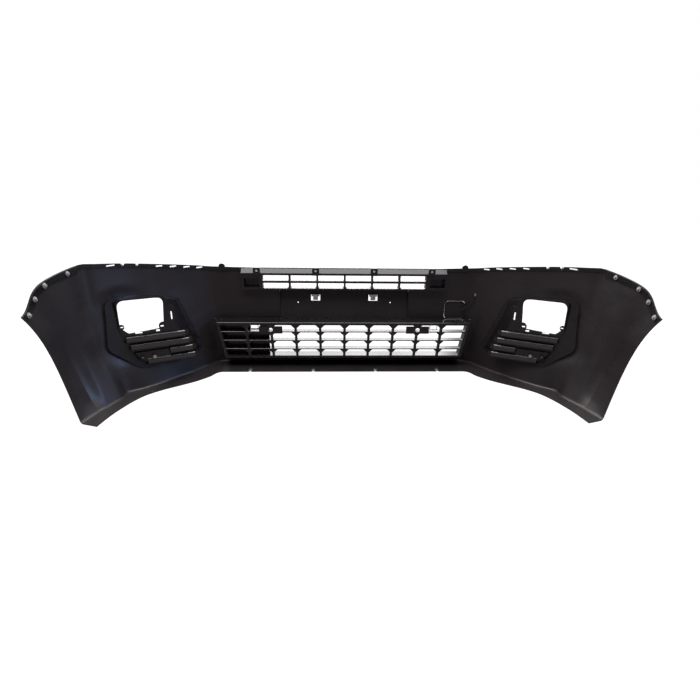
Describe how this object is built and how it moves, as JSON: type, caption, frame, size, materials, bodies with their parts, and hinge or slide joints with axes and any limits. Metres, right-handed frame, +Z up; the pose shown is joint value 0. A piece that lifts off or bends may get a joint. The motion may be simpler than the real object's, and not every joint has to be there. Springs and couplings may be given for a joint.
{
  "type": "bumper cover",
  "caption": "Front bumper cover with swept wings, bottom flange, lamp trims, upper and lower grilles, plate panel and a pull-out towing eye cover.",
  "frame": {"origin": "middle of the width and of the depth, at the height of the flange's underside", "axes": "+X to the car's left side, -Y to the front of the car, +Y back to the wing tips, +Z up"},
  "size_m": [1.8054, 0.627, 0.4689],
  "materials": {
    "wall_pp": "black moulded polypropylene, fine satin grain",
    "moulded_pp": "black injection-moulded plastic, satin",
    "zinc_steel": "bright zinc-plated spring steel",
    "strap_elastomer": "black flexible elastomer"
  },
  "bodies": {
    "cover": {"bumper_skin": "wall_pp", "plate_panel": "wall_pp", "lower_grille_surround": "moulded_pp", "upper_grille": "moulded_pp", "lower_grille": "moulded_pp", "lower_grille_blanking_panel": "moulded_pp", "fog_trim_left": "moulded_pp", "fog_trim_right": "moulded_pp", "fog_lamp_bracket_left": "moulded_pp", "fog_lamp_bracket_right": "moulded_pp", "headlamp_rail_left": "moulded_pp", "headlamp_rail_right": "moulded_pp", "fender_rail_left": "moulded_pp", "fender_rail_right": "moulded_pp", "tow_eye_cover_strap": "strap_elastomer", "tow_strap_pin": "zinc_steel", "plate_clip_left": "zinc_steel", "plate_clip_right": "zinc_steel", "lower_grille_clips": "zinc_steel", "fog_trim_screw_left": "zinc_steel", "fog_trim_screw_right": "zinc_steel", "undertray_spring_nuts": "zinc_steel", "fender_push_clips_left": "moulded_pp", "fender_push_clips_right": "moulded_pp"},
    "towing_cover": {"tow_eye_cover": "wall_pp"}
  },
  "joints": [
    {"name": "towing_cover_slide", "type": "slide", "parent": "cover", "child": "towing_cover", "axis": [0, -1, 0], "range_m": [0, 0.03], "deforming": ["tow_eye_cover_strap"]}
  ]
}
